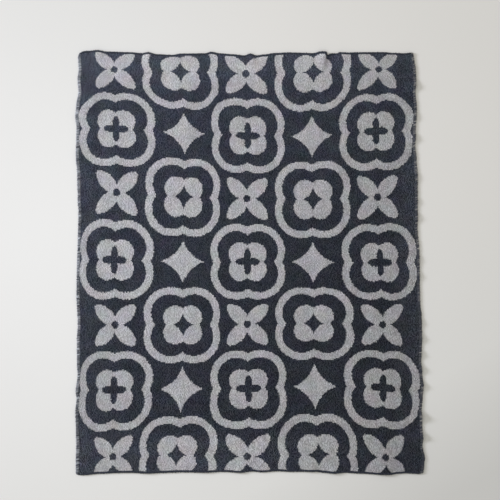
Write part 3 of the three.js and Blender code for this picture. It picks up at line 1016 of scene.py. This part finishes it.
class THROW_OT_cloth(Operator):
    """Lays out the knitted cloth as one closed sheet with a rolled edge"""

    bl_idname = "fleece_throw.cloth"
    bl_label = "Lay the cloth"

    def execute(self, context):
        settings = context.scene.fleece_throw
        cloth = settings.cloth
        across, along, columns, rows = cloth_grid(settings)
        x, y, low, high = lay(settings, across, along)
        count = len(x)
        grid = np.arange(count).reshape(rows, columns)
        corners = [grid[:-1, :-1], grid[:-1, 1:], grid[1:, 1:], grid[1:, :-1]]
        face = np.stack([corner.ravel() for corner in corners], axis=1)
        back = face[:, ::-1] + count

        rim = rim_of(columns, rows)
        turns = rolled_edge(cloth, rim, x, y, low, high)
        points = np.concatenate([np.stack([x, y, high], axis=1), np.stack([x, y, low], axis=1), *turns])
        turn_numbers = 2 * count + np.arange(len(turns) * len(rim)).reshape(len(turns), len(rim))
        rings = [rim + count, *turn_numbers, rim]
        sides = np.concatenate([faces_between(*pair) for pair in zip(rings[:-1], rings[1:])])

        group = build_motif_group(settings.motifs)
        knit = fleece_material("Knit face", settings, group, KNIT_PAINTED_SHADE)
        materials = [knit, backing_material(settings)]
        made = make_object("throw_cloth", points, np.concatenate([face, back, sides]), materials)
        slots = np.concatenate([np.zeros(len(face)), np.ones(len(back)), np.zeros(len(sides))])
        made.data.polygons.foreach_set("material_index", slots.astype(np.int32))
        flat = np.stack([across, along], axis=1)
        on_turns = [flat[rim]] * len(turns)
        set_map(made.data, FLAT_MAP, np.concatenate([flat, flat, *on_turns]))
        strips = [(flat, FACE_STRIP), (flat, BACK_STRIP), *[(places, FACE_STRIP) for places in on_turns]]
        bake = [bake_places(cloth, *places.T, *strip) for places, strip in strips]
        set_map(made.data, BAKE_MAP, np.concatenate(bake))
        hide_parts(NODE)
        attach(made, BODY)
        return {"FINISHED"}


TUFT_SIDES = 3
TUFT_FACES = [(0, 1, 3), (1, 2, 3), (2, 0, 3), (0, 2, 1)]  # between its foot's corners and its tip
PRESSED = 0.4  # how high the tufts under the sides' stitches are against the others
TUFT_NARROW = 0.65  # a tuft's foot across the throw against along it
TUFT_LEAN = 0.35  # how far a tuft's tip mostly leans, as a share of its foot's radius
PLUSH_PIECES = ("plush_foot", "plush_middle", "plush_head")
SUNK = 0.0004  # how far a tuft's foot is sunk in the knit


def plush_half_size(settings):
    """Half the width and half the length of the face that carries tufts."""
    bare = inset(settings) + settings.plush.spread / 2
    half_width = settings.cloth.width / 2 - bare - settings.edging.right_depth / 2
    half_length = settings.cloth.length / 2 - bare - settings.edging.end_depth / 2
    return half_width, half_length


def tuft_corners(across, along, spread, turn, lean, tall):
    """The three corners of each tuft's foot and its tip, as places across and along and how high."""
    corners = []
    for side in range(TUFT_SIDES):
        angle = turn + side * 2 * np.pi / TUFT_SIDES
        foot_across = across + TUFT_NARROW * spread * np.cos(angle)
        foot_along = along + spread * np.sin(angle)
        corners.append((foot_across, foot_along, -SUNK))
    corners.append((across + lean[:, 0], along + lean[:, 1], tall))
    return corners


class THROW_OT_plush(Operator):
    """Covers the cloth's face with short tufts, one for each stitch"""

    bl_idname = "fleece_throw.plush"
    bl_label = "Raise the plush"

    def execute(self, context):
        settings = context.scene.fleece_throw
        cloth = settings.cloth
        plush = settings.plush
        chance = np.random.default_rng(plush.seed)
        half_width, half_length = plush_half_size(settings)
        columns = int(half_width / plush.wale)
        rows = int(half_length / plush.course)
        wales, courses = np.meshgrid(np.arange(-columns, columns), np.arange(-rows, rows))
        middles = [(wales.ravel() + 0.5) * plush.wale, (courses.ravel() + 0.5) * plush.course]
        stitch = np.stack(middles, axis=1)
        count = len(stitch)
        across = stitch[:, 0] + plush.wale * plush.scatter * chance.uniform(-1, 1, count)
        along = stitch[:, 1] + plush.course * plush.scatter * chance.uniform(-1, 1, count)
        across, along = round_corners(cloth, across, along)
        rib = np.where(wales.ravel() % 2, 1 + plush.rib, 1 - plush.rib)
        spread = plush.spread * chance.uniform(1 - plush.scatter, 1 + plush.scatter, count)
        tall = rib * plush.height * chance.uniform(1 - plush.scatter, 1 + plush.scatter, count)
        pressed_to = np.where(across < 0, settings.edging.left_depth, settings.edging.right_depth)
        bound = (half_width - np.abs(across)) / pressed_to
        tall = tall * np.clip(bound + PRESSED, PRESSED, 1.0)
        turn = chance.uniform(0, 2 * np.pi, count)
        lean = chance.normal(0, TUFT_LEAN * plush.spread, (count, 2))

        corners = tuft_corners(across, along, spread, turn, lean, tall)
        points = []
        for place_across, place_along, rise in corners:
            x, y, _, high = lay(settings, place_across, place_along)
            points.append(np.stack([x, y, high + rise], axis=1))
        points = np.stack(points, axis=1)
        flat = np.stack([np.stack([a, b], axis=1) for a, b, _ in corners], axis=1)
        stitch = np.repeat(stitch, len(corners), axis=0)

        material = fleece_material("Plush", settings, bpy.data.node_groups["Tile motifs"], 1.0)
        bands = np.array_split(np.arange(count), len(PLUSH_PIECES))
        for name, band in zip(PLUSH_PIECES, bands):
            first = len(corners) * np.arange(len(band))
            faces = (first[:, None, None] + np.array(TUFT_FACES)).reshape(-1, 3)
            made = make_object(name, points[band].reshape(-1, 3), faces, [material])
            own = (len(corners) * band[:, None] + np.arange(len(corners))).ravel()
            set_map(made.data, FLAT_MAP, stitch[own])
            set_map(made.data, BAKE_MAP, bake_places(cloth, *flat[band].reshape(-1, 2).T))
            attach(made, BODY)
        return {"FINISHED"}


# The run of one overlock stitch: how far out of the edge it is, as a share of its depth inside the
# edge and of the thread's radius outside it, how high, as a share of the cloth, how far it has gone on
# along the edge, as a share of the pitch, and how much of its pale yarn shows there on the left side and
# on the right.
Turn = namedtuple("Turn", "inside outside up along left_pale right_pale")
STITCH_RUN = [
    Turn(1.0, 0.0, 1.05, 0.0, 1.0, 0.8),
    Turn(0.72, 0.0, 1.36, 0.10, 1.0, 0.8),
    Turn(0.22, 0.0, 1.28, 0.32, 0.8, 1.2),
    Turn(0.0, 0.9, 0.96, 0.48, 0.45, 1.4),
    Turn(0.0, 1.0, 0.50, 0.58, 0.25, 1.0),
    Turn(0.16, 0.0, 0.36, 0.72, 0.2, 0.4),
]
THREAD_SIDES = 5
THREAD_TAPER = 0.7  # the thread's radius at a stitch's ends against along it
ASIDE = (0.31, 0.17, 0.93)  # a direction in which no stitch runs
# How uneven the stitches are: in their place, as a share of the pitch, in their thread and in their depth.
STITCH_SHIFT = 0.25
THREAD_RANGE = (0.8, 1.2)
DEPTH_RANGE = (0.8, 1.15)
# How uneven their pale yarn is: the least that a tick of stitches has and how much more it may have,
# against the side's share, and between what shares of its tick's a stitch may have.
TICK_LEAST = 0.35
TICK_MORE = 1.95
STITCH_PALE = (0.4, 1.6)
NEAR_EDGE = 0.012  # a stitch this near the flat cloth's side belongs to that side
TICK_RUN = 0.0046  # how far the overlock runs before its share of pale yarn changes
# Places along each side, and there the share of pale yarn and the depth against the side's own, and how
# uneven the share is from stitch to stitch.
LEFT_RUN = np.array([
    (-0.79, 0.6, 1.3, 1.7), (-0.62, 0.65, 1.25, 1.7), (-0.5, 0.8, 1.1, 1.7), (-0.35, 0.7, 1.0, 1.7),
    (-0.15, 0.7, 1.0, 1.7), (0.05, 0.75, 1.0, 1.7), (0.3, 0.55, 1.0, 1.7), (0.42, 0.9, 1.0, 1.4),
    (0.5, 1.2, 1.05, 1.0), (0.62, 1.5, 1.2, 0.75), (0.765, 1.5, 1.2, 0.75), (0.782, 0.6, 1.0, 0.75),
    (0.79, 0.0, 1.0, 0.75),
])
RIGHT_RUN = np.array([
    (-0.79, 0.3, 1.0, 1.7), (-0.66, 0.5, 1.0, 1.7), (-0.585, 0.75, 1.0, 1.7), (-0.36, 1.1, 1.0, 1.7),
    (-0.31, 0.6, 1.0, 1.7), (-0.24, 0.3, 1.0, 1.7), (-0.12, 0.4, 1.0, 1.7), (0.02, 0.9, 1.0, 1.7),
    (0.42, 1.0, 1.0, 1.7), (0.79, 1.05, 1.0, 1.7),
])


def along_sides(on_left, places):
    """The share of pale yarn, the depth and the unevenness at places along the left or the right side."""
    found = []
    for column in (1, 2, 3):
        left = np.interp(places, LEFT_RUN[:, 0], LEFT_RUN[:, column])
        right = np.interp(places, RIGHT_RUN[:, 0], RIGHT_RUN[:, column])
        found.append(np.where(on_left, left, right))
    return found


def rim_line(settings):
    """The flat places of the cloth's rim, closed, and how far along the rim each of them is."""
    across, along, columns, rows = cloth_grid(settings)
    rim = rim_of(columns, rows)
    rim = np.append(rim, rim[0])
    steps = np.hypot(np.diff(across[rim]), np.diff(along[rim]))
    return across[rim], along[rim], np.concatenate([[0.0], np.cumsum(steps)])


def stitch_spines(settings, rim, starts, depth, room):
    """The middle of each stitch's thread, as (stitch, turn, xyz). It stands out by its room."""
    rim_across, rim_along, gone = rim
    spine = []
    for turn in STITCH_RUN:
        place = np.mod(starts + turn.along * settings.edging.pitch, gone[-1])
        ahead = np.mod(place + settings.cloth.mesh_step, gone[-1])
        place_across = np.interp(place, gone, rim_across)
        place_along = np.interp(place, gone, rim_along)
        run_across = np.interp(ahead, gone, rim_across) - place_across
        run_along = np.interp(ahead, gone, rim_along) - place_along
        size = np.hypot(run_across, run_along)
        reach = turn.outside * room - turn.inside * depth
        x, y, low, high = lay(settings, place_across + run_along / size * reach,
                              place_along - run_across / size * reach)
        spine.append(np.stack([x, y, low + (high - low) * turn.up], axis=1))
    return np.stack(spine, axis=1)


class THROW_OT_edging(Operator):
    """Sews the overlock stitches over the four edges"""

    bl_idname = "fleece_throw.edging"
    bl_label = "Overlock the edges"

    def execute(self, context):
        settings = context.scene.fleece_throw
        cloth = settings.cloth
        edging = settings.edging
        chance = np.random.default_rng(edging.seed)
        rim = rim_line(settings)
        rim_across, rim_along, gone = rim
        count = round(gone[-1] / edging.pitch)
        starts = (np.arange(count) + STITCH_SHIFT * chance.uniform(-1, 1, count)) * gone[-1] / count
        radius = edging.thread * chance.uniform(*THREAD_RANGE, count)
        start_across = np.interp(starts, gone, rim_across)
        on_side = np.abs(start_across) > cloth.width / 2 - NEAR_EDGE
        on_left = on_side & (start_across < 0)
        pale, side_depth, uneven = along_sides(on_left, np.interp(starts, gone, rim_along))
        side_depth = np.where(on_left, edging.left_depth, edging.right_depth) * side_depth
        depth = np.where(on_side, side_depth, edging.end_depth) * chance.uniform(*DEPTH_RANGE, count)
        slack = chance.uniform(0.0, 1.0, count) ** 2
        spine = stitch_spines(settings, rim, starts, depth, cloth.roll + slack * radius)
        points, faces = tubes(spine, radius)
        made = make_object("overlock_stitches", points, faces, [thread_material(settings)])

        pale = np.where(on_left, edging.left_pale, edging.right_pale) * pale * on_side
        knots = np.arange(0.0, gone[-1] + TICK_RUN, TICK_RUN)
        ticks = TICK_LEAST + TICK_MORE * chance.uniform(0.0, 1.0, len(knots)) ** 2
        varied = np.interp(starts, knots, ticks) * chance.uniform(*STITCH_PALE, count) - 1.0
        pale = pale * np.maximum(varied * uneven + 1.0, 0.0)
        turn_pale = [np.where(on_left, turn.left_pale, turn.right_pale) for turn in STITCH_RUN]
        pale = pale[:, None] * np.stack(turn_pale, axis=1)
        right = np.repeat(1.0 - on_left, len(STITCH_RUN))
        shares = np.stack([pale.ravel(), right], axis=1)
        set_map(made.data, THREAD_MAP, np.repeat(shares, THREAD_SIDES, axis=0))
        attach(made, BODY)
        return {"FINISHED"}


def tubes(spine, radius):
    """Closed tubes along many short spines, as points and faces. spine is (tube, step, xyz)."""
    count, steps, _ = spine.shape
    run = np.gradient(spine, axis=1)
    run /= np.linalg.norm(run, axis=2, keepdims=True)
    side = np.cross(run, np.array(ASIDE))
    side /= np.linalg.norm(side, axis=2, keepdims=True)
    other = np.cross(run, side)
    taper = np.ones(steps)
    taper[[0, -1]] = THREAD_TAPER
    rings = []
    for number in range(THREAD_SIDES):
        angle = 2 * np.pi * number / THREAD_SIDES
        away = np.cos(angle) * side + np.sin(angle) * other
        rings.append(spine + away * radius[:, None, None] * taper[None, :, None])
    points = np.stack(rings, axis=2).reshape(-1, 3)
    faces = []
    first = np.arange(count) * steps * THREAD_SIDES
    for step in range(steps - 1):
        for number in range(THREAD_SIDES):
            a = step * THREAD_SIDES + number
            b = step * THREAD_SIDES + (number + 1) % THREAD_SIDES
            quad = np.array([a, b, b + THREAD_SIDES, a + THREAD_SIDES])
            faces.extend((first[:, None] + quad).tolist())
    start = np.arange(THREAD_SIDES)[::-1]
    end = (steps - 1) * THREAD_SIDES + np.arange(THREAD_SIDES)
    faces.extend((first[:, None] + start).tolist())
    faces.extend((first[:, None] + end).tolist())
    return points, faces


FLOOR_SIZE = 9.0
KEY = {"place": (-9.05, 2.26, 3.65), "size": (2.6, 2.6), "colour": (0.96, 0.98, 1.066)}
FILL = {"place": (-0.6, 0.05, 1.4), "size": (0.5, 0.5), "colour": (0.96, 0.98, 1.066)}
AMBIENT_COLOUR = (1.0, 0.977, 0.880)
SENSOR = 36.0  # in millimetres, as the lens is
LENS = 85.0


def aim(made, place, target):
    """Puts an object at a place and turns its -Z towards a target, with +Y up in its view."""
    made.location = place
    made.rotation_euler = (Vector(target) - Vector(place)).to_track_quat("-Z", "Y").to_euler()


def add_lamp(name, power, place, target, size, colour):
    """An area light that shines on the throw and that the camera doesn't see."""
    lamp = bpy.data.lights.new(name, "AREA")
    lamp.shape = "RECTANGLE"
    lamp.size, lamp.size_y = size
    lamp.energy = power
    lamp.color = colour
    made = bpy.data.objects.new(name, lamp)
    aim(made, place, target)
    made.visible_camera = False
    bpy.context.scene.collection.objects.link(made)


class THROW_OT_studio(Operator):
    """Sets the camera over the throw, the pale floor and the soft light from the left"""

    bl_idname = "fleece_throw.studio"
    bl_label = "Set the studio"

    def execute(self, context):
        studio = context.scene.fleece_throw.studio
        scene = context.scene
        lens = bpy.data.cameras.new("Camera")
        lens.sensor_width = SENSOR
        lens.lens = LENS
        camera = bpy.data.objects.new("Camera", lens)
        camera.location = (studio.camera_across, studio.camera_along, studio.camera_height)
        scene.collection.objects.link(camera)
        scene.camera = camera

        half = FLOOR_SIZE / 2
        corners = np.array([(-half, -half, 0), (half, -half, 0), (half, half, 0), (-half, half, 0)])
        floor = make_object("floor", corners, [(0, 1, 2, 3)], [floor_material(studio)])

        add_lamp("Key light", studio.key_power, KEY["place"], (0.0, 0.0, 0.0), KEY["size"], KEY["colour"])
        below = (FILL["place"][0], FILL["place"][1], 0.0)
        add_lamp("Fill light", studio.fill_power, FILL["place"], below, FILL["size"], FILL["colour"])

        world = bpy.data.worlds.new("Studio")
        world.use_nodes = True
        background = world.node_tree.nodes["Background"]
        background.inputs["Color"].default_value = (*AMBIENT_COLOUR, 1.0)
        background.inputs["Strength"].default_value = studio.ambient
        scene.world = world
        scene.view_settings.view_transform = "Standard"
        return {"FINISHED"}


class THROW_PT_sidebar(Panel):
    """The throw's making, step by step"""

    bl_idname = "THROW_PT_sidebar"
    bl_label = "Jacquard fleece throw"
    bl_space_type = "VIEW_3D"
    bl_region_type = "UI"
    bl_category = "Throw"

    def draw(self, context):
        settings = context.scene.fleece_throw
        for maker, groups in PANEL_ROWS:
            box = self.layout.box()
            for group in groups:
                values = getattr(settings, group)
                for name in values.bl_rna.properties.keys():
                    if name not in {"rna_type", "name"}:
                        box.prop(values, name)
            box.operator(maker.bl_idname)


PANEL_ROWS = [
    (THROW_OT_studio, ["studio"]),
    (THROW_OT_cloth, ["cloth", "motifs", "yarns"]),
    (THROW_OT_plush, ["plush"]),
    (THROW_OT_edging, ["edging"]),
]
CLASSES = [
    ThrowCloth, ThrowMotifs, ThrowYarns, ThrowPlush, ThrowEdging, ThrowStudio, ThrowSettings,
    THROW_OT_studio, THROW_OT_cloth, THROW_OT_plush, THROW_OT_edging, THROW_PT_sidebar,
]


def register():
    """Makes the settings, the operators and the panel known."""
    for kind in CLASSES:
        bpy.utils.register_class(kind)
    bpy.types.Scene.fleece_throw = PointerProperty(type=ThrowSettings)


def unregister():
    """Takes them away again."""
    del bpy.types.Scene.fleece_throw
    for kind in reversed(CLASSES):
        bpy.utils.unregister_class(kind)


def main():
    """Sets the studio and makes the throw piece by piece."""
    register()
    bpy.ops.fleece_throw.studio()
    bpy.ops.fleece_throw.cloth()
    bpy.ops.fleece_throw.plush()
    bpy.ops.fleece_throw.edging()


if __name__ == "__main__":
    main()
